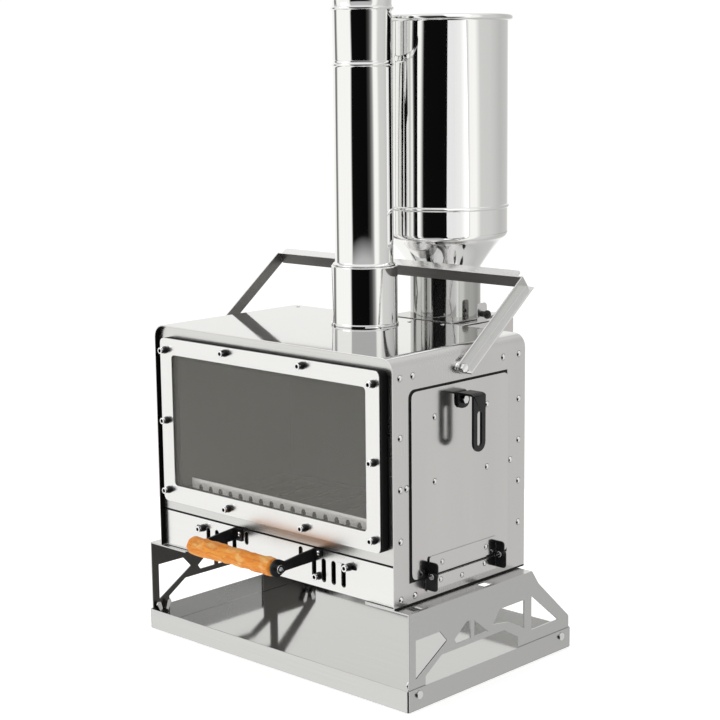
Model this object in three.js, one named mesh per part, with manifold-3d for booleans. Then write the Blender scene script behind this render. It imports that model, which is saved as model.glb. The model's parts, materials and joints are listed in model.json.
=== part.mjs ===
// Tent wood stove: a folded stainless body on two truss legs that stand in a drip tray, with a front window,
// an ash drawer with a wooden grip, a drop-down side door, a flue, and a pellet hopper on a feed box behind it.
// Millimetres, +Z up. The stove's front faces -Y and the side door +X. Every piece is drawn in the body's own
// frame (X = 0 on the centre line, Y = 0 at the body's front edge, Z = 0 under the tray) and the whole group is
// moved at the end, so that the origin lies at the bottom centre of the bounding box.
import * as THREE from "three";
import { mergeVertices } from "three/addons/utils/BufferGeometryUtils.js";
import Module from "manifold-3d";

const wasm = await Module();
wasm.setup();

// ---------------------------------------------------------------- driving dimensions
const GAP = 0.3; // between pieces that touch
const SHEET = 1.5; // body sheet
const LEAF = 1.8; // hinge leaves and ledges
const PIPE = 1; // flue wall
const BARREL = 1.6; // hopper wall

// body
const BODY_W = 430;
const BODY_D = 250;
const BODY_H = 304.5;
const LEG_H = 122; // floor to the body's underside
const BEND_R = 17; // bend between the top and each side
const RECESS = 7; // front plate behind the body's front edge
const DRAWER_H = 51.6; // drawer front, at the foot of the front

// tray and legs
const TRAY_SIDE = 24.5; // beyond the body at each side
const TRAY_FRONT = 3;
const TRAY_BACK = 70;
const TRAY_H = 27;
const TRAY_T = 1.2;
const LEG_T = 2;
const LEG_FLANGE = 76; // top flange, inwards
const BOLT_Z = 19;
const BOLT_IN = 19; // leg bolts from each end of the tray
const BOLT_HOLE = 2.8; // radius

// window
const FRAME_PROUD = 5; // face of the window frame in front of the body's front edge
const FRAME_SIDE = 17; // from the body's side to the frame
const FRAME_LOW = 15.9; // frame above the drawer front
const FRAME_TOP = 15.5; // frame below the top plate
const BAND = 22.5; // width of the frame's band
const GLASS_LAP = 7.4; // glass behind the band
const GLASS_T = 4.2;
const SCREW_IN = 10; // screws from the frame's sides
const SCREW_MID = 70; // screws of the long bands from the centre line
const RAIL_PROUD = 9; // air rail above the window's lower edge
const RAIL_PITCH = 19.4;
const RAIL_HOLES = 16;

// flue
const FLUE_BACK = 68; // flue axis in front of the body's back
const FLUE_R = 38.7; // 3 inch pipe with its seam
const COLLAR_R = 43.8;
const COLLAR_H = 78.5;
const LOWER_PIPE = 264; // shows between the collar and the joint
const UPPER_PIPE = 77; // shows above the joint

// hopper and feed box
const HOP_X = 28;
const HOP_BACK = 63; // hopper axis behind the body's back
const NECK_R = 48;
const HOP_R = 84.2;
const BOX_DROP = 4.5; // feed box's top below the top plate
const NECK_H = 68;
const CONE_H = 48;
const BARREL_H = 287;
const SHOULDER_R = 9; // between the cone and the barrel
const SHOULDER_TURN = 48; // degrees

// side door and latch
const DOOR_FRONT = 30; // from the body's front edge
const DOOR_BACK = 36; // from the body's back
const DOOR_LOW = 30; // above the body's underside
const DOOR_TOP = 43.5; // below the top plate
const LATCH_DROP = 21; // latch shaft below the door's top
const LEVER_STAND = 27; // lever plate from the body's side
const LEVER_L = 62; // below the shaft

// carrying bail
const BAIL_REACH = 122.2; // pivot to crossbar, backwards
const BAIL_DROP = 25.2; // pivot below the top plate
const BAIL_RISE = 68.6; // crossbar above the top plate
const BAIL_W = 16; // width of the arm

// drawer
const GRIP_OUT = 58; // grip in front of the body's front edge
const GRIP_Z = 38; // grip above the body's underside
const GRIP_R = 12.7;
const BRACKET_X = 73; // outer face of the left bracket, inner face of the right one
const BRACKET_T = 3;
const VENT_X = 73.5; // first of four vents from the centre line
const VENT_PITCH = 17;
const VENT_W = 7.4;
const VENT_LOW = 8.5; // above the body's underside
const VENT_H = 30.5;
const SHUTTER_TRAVEL = 8.5;
const KNOB_R = 4.3; // small socket-head screws and knobs

// ---------------------------------------------------------------- places that follow from them
const W = BODY_W / 2;
const BODY_Z0 = LEG_H;
const BODY_Z1 = BODY_Z0 + BODY_H;
const INNER = W - SHEET;
const SPLIT_Z = BODY_Z0 + DRAWER_H; // between the front plate and the drawer front
const TRAY_X = W + TRAY_SIDE;
const TRAY_Y1 = BODY_D + TRAY_BACK;
const BOLTS = [["front", BOLT_IN - TRAY_FRONT], ["rear", TRAY_Y1 - BOLT_IN - TRAY_FRONT]];
const LEG_TOP = BODY_Z0 - GAP;
const FRAME = { x: W - FRAME_SIDE, z0: SPLIT_Z + FRAME_LOW, z1: BODY_Z1 - FRAME_TOP };
const SIGHT = { x: FRAME.x - BAND, z0: FRAME.z0 + BAND + 1, z1: FRAME.z1 - BAND + 1 };
const GRATE_Z = SPLIT_Z + 4.4;
const BAFFLE_Z = BODY_Z1 - 51.4;
const FLUE_Y = BODY_D - FLUE_BACK;
const COLLAR_TOP = BODY_Z1 + COLLAR_H;
const FLUE_JOINT = COLLAR_TOP + LOWER_PIPE;
const FLUE_TOP = FLUE_JOINT + UPPER_PIPE;
const HOP_Y = BODY_D + HOP_BACK;
const BOX_TOP = BODY_Z1 - BOX_DROP;
const GATE_Z = BOX_TOP + GAP; // underside of the gate's guide
const GATE_T = 2.4;
const HOP_Z = GATE_Z + GATE_T + GAP; // underside of the hopper's flange
const CONE_Z0 = HOP_Z + NECK_H;
const CONE_Z1 = CONE_Z0 + CONE_H;
const HOP_TOP = CONE_Z1 + BARREL_H;
const FLANGE = NECK_R + 8; // half width of the hopper's flange and the gate's guide
const GATE_X = HOP_X + FLANGE + 13; // outer face of the gate's tab
const DOOR = { y0: DOOR_FRONT, y1: BODY_D - DOOR_BACK, z0: BODY_Z0 + DOOR_LOW, z1: BODY_Z1 - DOOR_TOP };
const HOLE = { y0: DOOR.y0 + 12, y1: DOOR.y1 - 12, z0: DOOR.z0 + 32, z1: DOOR.z1 - 12 };
const HINGE = { x: W + 11, z: DOOR.z0 + 1.5, y0: DOOR.y0 + 27, y1: DOOR.y1 - 23 };
const LATCH = { y: DOOR.y0 + 92.5, z: DOOR.z1 - LATCH_DROP };
// the bail's crossbar stands between the flue collar and the hopper's neck
const BAR_Y = (FLUE_Y + COLLAR_R + HOP_Y - NECK_R) / 2 - 3.9;
const BAIL = { x: W + 4, y: BAR_Y - BAIL_REACH, z: BODY_Z1 - BAIL_DROP };
const BAIL_L = Math.hypot(BAIL_REACH, BAIL_DROP + BAIL_RISE);
const BAIL_TILT = (Math.atan2(BAIL_DROP + BAIL_RISE, BAIL_REACH) * 180) / Math.PI;
const GRIP = { y: -GRIP_OUT, z: BODY_Z0 + GRIP_Z };
const VENTS = [0, 1, 2, 3].map((i) => VENT_X + i * VENT_PITCH);
const VENT = { z0: BODY_Z0 + VENT_LOW, z1: BODY_Z0 + VENT_LOW + VENT_H };

// ---------------------------------------------------------------- helpers
const SIDES = 32; // of everything turned on the flue's or the hopper's axis

function solid(geometry) {
  let g = geometry.index ? geometry.toNonIndexed() : geometry;
  g = new THREE.BufferGeometry().setAttribute("position", g.getAttribute("position"));
  const m = mergeVertices(g, 1e-4);
  const made = new wasm.Manifold(
    new wasm.Mesh({
      numProp: 3,
      vertProperties: new Float32Array(m.attributes.position.array),
      triVerts: new Uint32Array(m.index.array),
    }),
  );
  if (made.volume() <= 0) throw new Error("inside-out solid");
  return made;
}
const join = (...s) => s.reduce((a, b) => a.add(b));
const cut = (a, ...s) => s.reduce((x, y) => x.subtract(y), a);

function box(x0, x1, y0, y1, z0, z1) {
  const g = new THREE.BoxGeometry(x1 - x0, y1 - y0, z1 - z0);
  g.translate((x0 + x1) / 2, (y0 + y1) / 2, (z0 + z1) / 2);
  return solid(g);
}
// Extrudes an outline along an axis. Outlines are (y, z) for x, (x, z) for y and (x, y) for z.
function prism(axis, points, a0, a1) {
  const v = points.map((p) => new THREE.Vector2(p[0], p[1]));
  if (THREE.ShapeUtils.area(v) < 0) v.reverse();
  const g = new THREE.ExtrudeGeometry(new THREE.Shape(v), {
    depth: a1 - a0,
    bevelEnabled: false,
    steps: 1,
  });
  const m = new THREE.Matrix4();
  if (axis === "x") m.set(0, 0, 1, a0, 1, 0, 0, 0, 0, 1, 0, 0, 0, 0, 0, 1);
  else if (axis === "y") m.set(1, 0, 0, 0, 0, 0, -1, a1, 0, 1, 0, 0, 0, 0, 0, 1);
  else m.set(1, 0, 0, 0, 0, 1, 0, 0, 0, 0, 1, a0, 0, 0, 0, 1);
  g.applyMatrix4(m);
  return solid(g);
}
function arc(cx, cy, r, a0, a1, n) {
  const out = [];
  for (let i = 0; i <= n; i++) {
    const a = ((a0 + ((a1 - a0) * i) / n) * Math.PI) / 180;
    out.push([cx + r * Math.cos(a), cy + r * Math.sin(a)]);
  }
  return out;
}
function roundRect(u0, u1, v0, v1, r, n = 3) {
  const q = typeof r === "number" ? [r, r, r, r] : r; // low-left, low-right, high-right, high-left
  const corner = (cx, cy, rr, a) => (rr > 0 ? arc(cx, cy, rr, a, a + 90, n) : [[cx, cy]]);
  return [
    ...corner(u0 + q[0], v0 + q[0], q[0], 180),
    ...corner(u1 - q[1], v0 + q[1], q[1], 270),
    ...corner(u1 - q[2], v1 - q[2], q[2], 0),
    ...corner(u0 + q[3], v1 - q[3], q[3], 90),
  ];
}
const circle = (cx, cy, r, n = 24) => arc(cx, cy, r, 0, 360, n).slice(0, n);
const rod = (axis, cx, cy, r, a0, a1, n = 24) => prism(axis, circle(cx, cy, r, n), a0, a1);
// Turns a closed profile of (radius, height) about the vertical axis at (cx, cy).
function spin(profile, cx, cy, n = SIDES) {
  const v = profile.map((p) => new THREE.Vector2(p[0], p[1]));
  if (THREE.ShapeUtils.area(v) < 0) v.reverse();
  const g = new THREE.LatheGeometry([...v, v[0].clone()], n);
  g.rotateX(Math.PI / 2);
  g.translate(cx, cy, 0);
  return solid(g);
}
// The outline round two outlines (their convex hull).
function hull(points) {
  const p = [...points].sort((a, b) => a[0] - b[0] || a[1] - b[1]);
  const turn = (o, a, b) => (a[0] - o[0]) * (b[1] - o[1]) - (a[1] - o[1]) * (b[0] - o[0]);
  const half = (list) => {
    const h = [];
    for (const q of list) {
      while (h.length > 1 && turn(h[h.length - 2], h[h.length - 1], q) <= 1e-9) h.pop();
      h.push(q);
    }
    h.pop();
    return h;
  };
  return [...half(p), ...half([...p].reverse())];
}
const mirrorX = (s) => s.mirror([1, 0, 0]);

const group = new THREE.Group();
function add(name, s, color = 0xb8babc) {
  const m = s.getMesh();
  const n = m.numProp;
  const v = new Float32Array(m.numVert * 3);
  for (let i = 0; i < m.numVert; i++) v.set(m.vertProperties.subarray(i * n, i * n + 3), i * 3);
  const g = new THREE.BufferGeometry()
    .setAttribute("position", new THREE.BufferAttribute(v, 3))
    .setIndex(new THREE.BufferAttribute(new Uint32Array(m.triVerts), 1));
  g.computeVertexNormals();
  const mesh = new THREE.Mesh(g, new THREE.MeshStandardMaterial({ color }));
  mesh.name = name;
  group.add(mesh);
  return s;
}
const BLACK = 0x222222;
const WOOD = 0xd88a45;
const GLASS = 0x55534e;

// ---------------------------------------------------------------- drip tray
{
  const holes = BOLTS.map(([, y]) => rod("x", y, BOLT_Z, BOLT_HOLE, -TRAY_X - 5, TRAY_X + 5, 8));
  const corner = 3;
  const outer = prism("z", roundRect(-TRAY_X, TRAY_X, -TRAY_FRONT, TRAY_Y1, corner), 0, TRAY_H);
  const inner = prism(
    "z",
    roundRect(-TRAY_X + TRAY_T, TRAY_X - TRAY_T, TRAY_T - TRAY_FRONT, TRAY_Y1 - TRAY_T, corner - TRAY_T),
    TRAY_T,
    TRAY_H + 1,
  );
  add("tray", cut(outer, inner, ...holes));
}

// ---------------------------------------------------------------- truss legs
{
  const x1 = TRAY_X - TRAY_T - GAP;
  const x0 = x1 - LEG_T;
  const y0 = 0.5;
  const y1 = TRAY_Y1 - 3;
  const back = BODY_D - 12; // end of the top chord
  const foot = TRAY_T + GAP;
  // The truss is drawn for a top chord 237.5 long and 120.2 above its foot, and its bays stretch with the leg.
  const stretch = { y: (back - y0) / 237.5, z: (LEG_TOP - foot) / 120.2 };
  const bay = ([y, z]) => [y0 + (y - 0.5) * stretch.y, foot + (z - 1.5) * stretch.z];
  const panel = prism(
    "x",
    [
      [y0, foot],
      bay([30, 1.5]),
      bay([30, 38]),
      bay([60, 57]),
      bay([181, 57]),
      bay([209, 41]),
      bay([209, 1.5]),
      [y1, foot],
      [y1, bay([0, 43])[1]],
      bay([252, 102]),
      [back, LEG_TOP],
      [y0, LEG_TOP],
    ],
    x0,
    x1,
  );
  const windows = [
    [[12.5, 38], [70.5, 72.5], [57, 87], [12.5, 87]],
    [[84, 70], [88, 64], [114.5, 64], [114.5, 87], [107, 87]],
    [[122, 64], [149, 64], [122, 85]],
    [[159, 70], [190, 66], [221.5, 50], [221.5, 87], [172, 87]],
  ].map((p) => prism("x", p.map(bay), x0 - 1, x1 + 1));
  // rear window, under the sloping strut that runs down to the tray's back
  const low = bay([0, 43.5])[1];
  windows.push(prism("x", [[back - 1, low], [y1 - 24, low], [back - 1, bay([0, 89])[1]]], x0 - 1, x1 + 1));
  const bolts = BOLTS.map(([, y]) => rod("x", y, BOLT_Z, BOLT_HOLE, x0 - 1, x1 + 1, 8));
  const slots = [[15.5, 31], [147, 163]].map(([a, b]) =>
    box(x1 - 19, x1 - 5, bay([a, 0])[0], bay([b, 0])[0], LEG_TOP - 20, LEG_TOP + 1),
  );
  const outline = roundRect(x1 - LEG_FLANGE, x1 - 0.01, y0, back, [6, 0, 0, 6]);
  const flange = prism("z", outline, LEG_TOP - LEG_T, LEG_TOP);
  const right = cut(join(panel, flange), ...windows, ...bolts, ...slots);
  add("leg_right", right);
  add("leg_left", mirrorX(right));

  // through bolt with a wing nut on the inside
  const fastener = (y) => {
    const wing = (s) => {
      const blade = [[2, 2], [6, 0], [13, 13], [11, 17], [6, 16]].map(([a, b]) => [y + s * a, BOLT_Z + b]);
      return prism("x", blade, x0 - 5.5, x0 - 3.3);
    };
    return join(
      rod("x", y, BOLT_Z, 5.2, TRAY_X + GAP, TRAY_X + 2.6, 10),
      rod("x", y, BOLT_Z, BOLT_HOLE - 0.5, x0 - 11, TRAY_X + 1, 6),
      rod("x", y, BOLT_Z, 5.5, x0 - 8, x0 - GAP, 8),
      wing(1),
      wing(-1),
    );
  };
  for (const [tag, y] of BOLTS) {
    add("leg_bolt_right_" + tag, fastener(y));
    add("leg_bolt_left_" + tag, mirrorX(fastener(y)));
  }
}

// ---------------------------------------------------------------- body
const wrapOutline = (off, z0 = BODY_Z0) =>
  roundRect(-W + off, W - off, z0, BODY_Z1 - off, [0, 0, BEND_R - off, BEND_R - off], 6);
const PLATE_W = INNER - 4.5; // half width of what lies on the ledges
{
  const shell = cut(
    prism("y", wrapOutline(0), 0, BODY_D),
    prism("y", wrapOutline(SHEET, BODY_Z0 - 1), -1, BODY_D + 1),
  );
  // ledges inside each wall carry the grate and the baffle
  const ledges = [[GRATE_Z, 12], [BAFFLE_Z, 60]].flatMap(([top, y0]) => {
    const ledge = box(INNER - 10.5, INNER + 0.2, y0, BODY_D - 4, top - GAP - LEAF, top - GAP);
    return [ledge, mirrorX(ledge)];
  });
  add(
    "body_shell",
    cut(
      join(shell, ...ledges),
      prism("x", roundRect(HOLE.y0, HOLE.y1, HOLE.z0, HOLE.z1, 8), W - 5, W + 5),
      rod("z", 0, FLUE_Y, FLUE_R + 1.3, BODY_Z1 - 5, BODY_Z1 + 5, SIDES),
      rod("x", BAIL.y, BAIL.z, 3.3, -W - 5, W + 5, 10),
    ),
  );

  const side = INNER - GAP;
  const pan = cut(
    box(-side, side, RECESS + 2, BODY_D - SHEET - 2 * GAP, BODY_Z0, BODY_Z0 + 13),
    box(SHEET - side, side - SHEET, RECESS, BODY_D, BODY_Z0 + SHEET, BODY_Z0 + 20),
  );
  add("floor_pan", pan);

  const back = cut(
    prism("y", wrapOutline(SHEET + GAP, BODY_Z0 + SHEET + GAP), BODY_D - GAP - SHEET, BODY_D - GAP),
    box(HOP_X - 66, HOP_X + 66, BODY_D - 10, BODY_D + 10, BOX_TOP - 150, BOX_TOP - 24),
  );
  add("back_panel", back);

  const screws = windowScrews();
  const screwHoles = screws.map(([x, z]) => rod("y", x, z, 2.4, -20, 30, 6));
  const plate = join(
    cut(
      prism("y", wrapOutline(SHEET + GAP, SPLIT_Z + 0.4), RECESS, RECESS + SHEET),
      prism("y", roundRect(-SIGHT.x - 2.5, SIGHT.x + 2.5, SIGHT.z0 - 2, SIGHT.z1 + 2.5, 6), 0, 20),
      ...screwHoles,
    ),
    box(-side, side, RECESS, RECESS + 13, SPLIT_Z + 0.4, SPLIT_Z + 0.4 + SHEET),
  );
  add("front_plate", plate);

  // window: frame, black seal ring with a step for the glass, glass
  const opening = (grow, r) => roundRect(-SIGHT.x - grow, SIGHT.x + grow, SIGHT.z0 - grow, SIGHT.z1 + grow, r);
  const frameT = 1.6;
  add(
    "window_frame",
    cut(
      prism("y", roundRect(-FRAME.x, FRAME.x, FRAME.z0, FRAME.z1, 7), -FRAME_PROUD, frameT - FRAME_PROUD),
      prism("y", opening(0, 5), -20, 20),
      ...screwHoles,
    ),
  );
  const ringY = frameT + GAP - FRAME_PROUD;
  add(
    "window_gasket",
    cut(
      prism("y", roundRect(-FRAME.x - 2, FRAME.x + 2, FRAME.z0 + 0.5, FRAME.z1 - 0.5, 7), ringY, RECESS - GAP),
      prism("y", opening(GLASS_LAP + GAP, 4), ringY - 1, ringY + GLASS_T + 0.4),
      prism("y", opening(1.5, 4), ringY, RECESS + 5),
      ...screwHoles,
    ),
    BLACK,
  );
  add("window_glass", prism("y", opening(GLASS_LAP, 3.7), ringY, ringY + GLASS_T), GLASS);
  screws.forEach(([x, z], i) => {
    const y0 = -FRAME_PROUD - GAP;
    const head = cut(
      join(rod("y", x, z, KNOB_R, y0 - 9, y0 - 1, 10), rod("y", x, z, KNOB_R + 1.1, y0 - 1.2, y0, 8)),
      rod("y", x, z, 2.2, y0 - 12, y0 - 6, 6),
    );
    const shank = rod("y", x, z, 1.9, y0 - 1, RECESS + 6, 6);
    add("window_screw_" + String(i + 1).padStart(2, "0"), join(head, shank), BLACK);
  });
}
function windowScrews() {
  const x = FRAME.x - SCREW_IN;
  const middle = (FRAME.z0 + FRAME.z1) / 2;
  const corner = { z0: FRAME.z0 + 15.5, z1: FRAME.z1 - 16 };
  const band = { z0: FRAME.z0 + 9.5, z1: FRAME.z1 - 7.5 };
  return [
    [-x, corner.z1], [-SCREW_MID, band.z1], [SCREW_MID, band.z1], [x, corner.z1], [x, middle],
    [x, corner.z0], [SCREW_MID, band.z0], [-SCREW_MID, band.z0], [-x, corner.z0], [-x, middle],
  ];
}

// ---------------------------------------------------------------- inside the firebox
{
  const plateBack = BODY_D - 10;
  const railY = RECESS + 7;
  const railFoot = 16.4;
  const grateY = railY + railFoot + 0.6;
  const grate = box(-PLATE_W, PLATE_W, grateY, plateBack, GRATE_Z, GRATE_Z + 1.6);
  const rim = 17;
  const bridge = 14;
  const slotL = (plateBack - grateY - 2 * rim - bridge) / 2;
  const slots = [];
  for (let i = -4; i <= 4; i++)
    for (const row of [0, 1]) {
      const x = (i * PLATE_W) / 5;
      const y = grateY + rim + row * (slotL + bridge);
      slots.push(box(x - 5, x + 5, y, y + slotL, GRATE_Z - 5, GRATE_Z + 5));
    }
  add("fire_grate", cut(grate, ...slots));

  const arch = SIGHT.z0 - 1.5; // centre height of the arched holes, which the window's lower edge half hides
  const holes = [];
  for (let i = 0; i < RAIL_HOLES; i++) {
    const x = (i - (RAIL_HOLES - 1) / 2) * RAIL_PITCH;
    const r = 4.5;
    const hole = [[x - r, arch - 15.5], [x + r, arch - 15.5], ...arc(x, arch, r, 0, 180, 3)];
    holes.push(prism("y", hole, 0, railY + 20));
  }
  const railW = (RAIL_HOLES / 2) * RAIL_PITCH + 7;
  add(
    "air_rail",
    cut(
      join(
        box(-railW, railW, railY, railY + SHEET, GRATE_Z, SIGHT.z0 + RAIL_PROUD),
        box(-PLATE_W, PLATE_W, railY, railY + railFoot, GRATE_Z, GRATE_Z + SHEET),
      ),
      ...holes,
    ),
  );
  add(
    "baffle_plate",
    join(
      box(-PLATE_W, PLATE_W, 62, plateBack, BAFFLE_Z, BAFFLE_Z + LEAF),
      box(12 - INNER, INNER - 12, 62, 64, BAFFLE_Z - 7, BAFFLE_Z + 1),
    ),
  );
}

// ---------------------------------------------------------------- flue
{
  const bore = COLLAR_R - SHEET;
  const z0 = BODY_Z1 + GAP;
  const mouth = FLUE_R + 0.5;
  add(
    "flue_collar",
    spin(
      [
        [bore, z0],
        [COLLAR_R + 1.2, z0],
        [COLLAR_R + 1.2, z0 + 2.5],
        [COLLAR_R, z0 + 3.5],
        [COLLAR_R, COLLAR_TOP - 3],
        [COLLAR_R - SHEET, COLLAR_TOP],
        [mouth, COLLAR_TOP],
        [mouth, COLLAR_TOP - 1.5],
        [bore, COLLAR_TOP - 3],
      ],
      0,
      FLUE_Y,
    ),
  );
  const ri = FLUE_R - PIPE;
  const rest = COLLAR_TOP + GAP; // the bead rests on the collar
  const bead = COLLAR_R - 2;
  add(
    "flue_pipe_lower",
    spin(
      [
        [ri, BODY_Z1 + 13.5],
        [FLUE_R, BODY_Z1 + 13.5],
        [FLUE_R, rest],
        [bead, rest],
        [bead, rest + 2.7],
        [FLUE_R, rest + 4.7],
        [FLUE_R, FLUE_JOINT - 8],
        [FLUE_R + 1.5, FLUE_JOINT - 6],
        [FLUE_R + 1.5, FLUE_JOINT - 4],
        [FLUE_R, FLUE_JOINT - 2],
        [FLUE_R, FLUE_JOINT],
        [ri, FLUE_JOINT],
      ],
      0,
      FLUE_Y,
    ),
  );
  // the upper pipe's crimped end slips into the lower pipe
  const sleeve = ri - 0.4;
  add(
    "flue_pipe_upper",
    spin(
      [
        [sleeve - PIPE, FLUE_JOINT - 34],
        [sleeve, FLUE_JOINT - 34],
        [sleeve, FLUE_JOINT + GAP],
        [FLUE_R, FLUE_JOINT + GAP],
        [FLUE_R, FLUE_TOP - 15],
        [FLUE_R + 2.7, FLUE_TOP - 12.5],
        [FLUE_R + 2.7, FLUE_TOP - 9],
        [FLUE_R, FLUE_TOP - 6.5],
        [FLUE_R, FLUE_TOP],
        [sleeve, FLUE_TOP],
        [sleeve, FLUE_TOP - 46],
        [sleeve - PIPE, FLUE_TOP - 46],
      ],
      0,
      FLUE_Y,
    ),
  );
}

// ---------------------------------------------------------------- feed box, gate and hopper
{
  const half = FLANGE + 16; // half width of the feed box
  const x0 = HOP_X - half;
  const x1 = HOP_X + half;
  const f = BODY_D + GAP;
  const b = HOP_Y + FLANGE + 2;
  const mouth = BOX_TOP - 160; // the chute slopes from its back down to the mouth in the back panel
  const heel = BOX_TOP - 72;
  const lid = BOX_TOP - SHEET;
  const hollow = [[f - 5, mouth - 1.8], [b - SHEET, heel + 0.8], [b - SHEET, lid], [f - 5, lid]];
  const chute = cut(
    join(
      prism("x", [[f, mouth], [b, heel], [b, BOX_TOP], [f, BOX_TOP]], x0, x1),
      box(x0 - 12, x1 + 12, f, f + SHEET, mouth - 8, BOX_TOP - 2),
    ),
    prism("x", hollow, x0 + SHEET, x1 - SHEET),
    rod("z", HOP_X, HOP_Y, NECK_R - BARREL, BOX_TOP - 5, BOX_TOP + 5, SIDES),
  );
  add("feed_box", chute);

  const guideX0 = HOP_X - FLANGE;
  const channel = NECK_R + 0.4; // half width of the gate's channel
  add(
    "gate_guide",
    cut(
      box(guideX0, HOP_X + FLANGE, HOP_Y - FLANGE, HOP_Y + FLANGE, GATE_Z, GATE_Z + GATE_T),
      box(guideX0 + 6, HOP_X + FLANGE + 1, HOP_Y - channel, HOP_Y + channel, GATE_Z - 1, GATE_Z + GATE_T + 1),
    ),
  );
  const knobY = HOP_Y - 5;
  const knobZ = GATE_Z + 11.7;
  const plateZ = GATE_Z + 0.4;
  const tabOutline = roundRect(knobY - 10, knobY + 10, plateZ, GATE_Z + 26.7, [0, 0, 5, 5]);
  const tab = prism("x", tabOutline, GATE_X - 1.6, GATE_X);
  add(
    "gate_plate",
    cut(
      join(box(guideX0 + 6.6, GATE_X, HOP_Y - NECK_R, HOP_Y + NECK_R, plateZ, plateZ + 1.6), tab),
      rod("x", knobY, knobZ, 2.3, GATE_X - 5, GATE_X + 5, 8),
    ),
  );
  const knobProfile = [[0, 0], [4, 0], [4, 2.5], [5.6, 4.5], [6, 8], [5, 11.5], [2.8, 13], [0, 13.3]];
  const knob = new THREE.LatheGeometry(knobProfile.map((p) => new THREE.Vector2(...p)), 14);
  knob.rotateZ(-Math.PI / 2);
  knob.translate(GATE_X + GAP, knobY, knobZ);
  add("gate_knob", join(solid(knob), rod("x", knobY, knobZ, 1.9, GATE_X - 4, GATE_X + 2, 8)), BLACK);

  // neck on its square flange
  const neckBore = NECK_R - BARREL;
  const flange = cut(
    prism("z", roundRect(HOP_X - FLANGE, HOP_X + FLANGE, HOP_Y - FLANGE, HOP_Y + FLANGE, 5), HOP_Z, HOP_Z + 2),
    rod("z", HOP_X, HOP_Y, NECK_R - 0.5, HOP_Z - 5, HOP_Z + 5, SIDES),
  );
  const neckTop = CONE_Z0 - GAP;
  const neck = [[neckBore, HOP_Z], [NECK_R, HOP_Z], [NECK_R, neckTop], [neckBore, neckTop]];
  add("hopper_neck", join(spin(neck, HOP_X, HOP_Y), flange));

  // funnel: a cone that flares upwards into a round shoulder, and the spigot that carries the barrel
  const turn = (SHOULDER_TURN * Math.PI) / 180;
  const shoulderR = HOP_R - SHOULDER_R * (1 - Math.cos(turn));
  const shoulderZ = CONE_Z1 - SHOULDER_R * Math.sin(turn);
  const flare = (wall) =>
    [0, 0.3, 0.65].map((t) => [
      NECK_R - wall + (shoulderR - NECK_R) * t,
      CONE_Z0 + (shoulderZ - CONE_Z0) * (1 - (1 - t) ** 1.25),
    ]);
  const shoulder = (wall, n) => arc(HOP_R - SHOULDER_R, CONE_Z1, SHOULDER_R - wall, -SHOULDER_TURN, 0, n);
  const spigot = HOP_R - BARREL - 0.4;
  add(
    "hopper_funnel",
    spin(
      [
        ...flare(0),
        ...shoulder(0, 3),
        [spigot, CONE_Z1],
        [spigot, CONE_Z1 + 16],
        [spigot - BARREL, CONE_Z1 + 16],
        ...shoulder(2 * BARREL, 2).reverse(),
        ...flare(BARREL).reverse(),
      ],
      HOP_X,
      HOP_Y,
    ),
  );
  const r = HOP_R;
  add(
    "hopper_barrel",
    spin(
      [
        [r - BARREL, CONE_Z1 + GAP],
        [r, CONE_Z1 + GAP],
        [r, CONE_Z1 + 32],
        [r + 2, CONE_Z1 + 33.5],
        [r + 2, CONE_Z1 + 36.5],
        [r, CONE_Z1 + 38],
        [r, HOP_TOP - 8],
        [r + 4.2, HOP_TOP - 7.2],
        [r + 6.2, HOP_TOP - 4],
        [r + 4.2, HOP_TOP - 0.8],
        [r, HOP_TOP],
        [r - BARREL, HOP_TOP - 1],
      ],
      HOP_X,
      HOP_Y,
    ),
  );
}

// ---------------------------------------------------------------- carrying bail
{
  // drawn flat (along +Y from the pivot, across Z), then tilted
  const h = BAIL_W / 2;
  const x0 = BAIL.x;
  const x1 = x0 + 2;
  const face = hull([...circle(0, 0, h, 16), [BAIL_L, -h], [BAIL_L, h]]);
  const lip = [[-2, -h], [BAIL_L - 3, -h], [BAIL_L - 3, 2 - h], [-2, 2 - h]];
  const arm = join(prism("x", face, x0, x1), prism("x", lip, x1 - 0.5, x1 + 12));
  const bar = join(
    box(-x1, x1, BAIL_L - 2, BAIL_L, -h - 3, h),
    prism("z", roundRect(9 - x1, x1 - 9, BAIL_L - 1, BAIL_L + 9.5, [0, 0, 4, 4]), h - 2, h),
  );
  const flat = cut(join(arm, mirrorX(arm), bar), rod("x", 0, 0, 3.4, -x1 - 20, x1 + 20, 10));
  add("bail_handle", flat.rotate([BAIL_TILT, 0, 0]).translate([0, BAIL.y, BAIL.z]));

  const pivot = join(
    rod("x", BAIL.y, BAIL.z, 3, W - 9, x1 + 4, 10),
    rod("x", BAIL.y, BAIL.z, 8, W + GAP, x0 - GAP, 12),
    rod("x", BAIL.y, BAIL.z, 6, x1 + GAP, x1 + 4.5, 6),
    rod("x", BAIL.y, BAIL.z, 6, W - 7, INNER - GAP, 6),
  );
  add("bail_pivot_right", pivot);
  add("bail_pivot_left", mirrorX(pivot));
}

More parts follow.
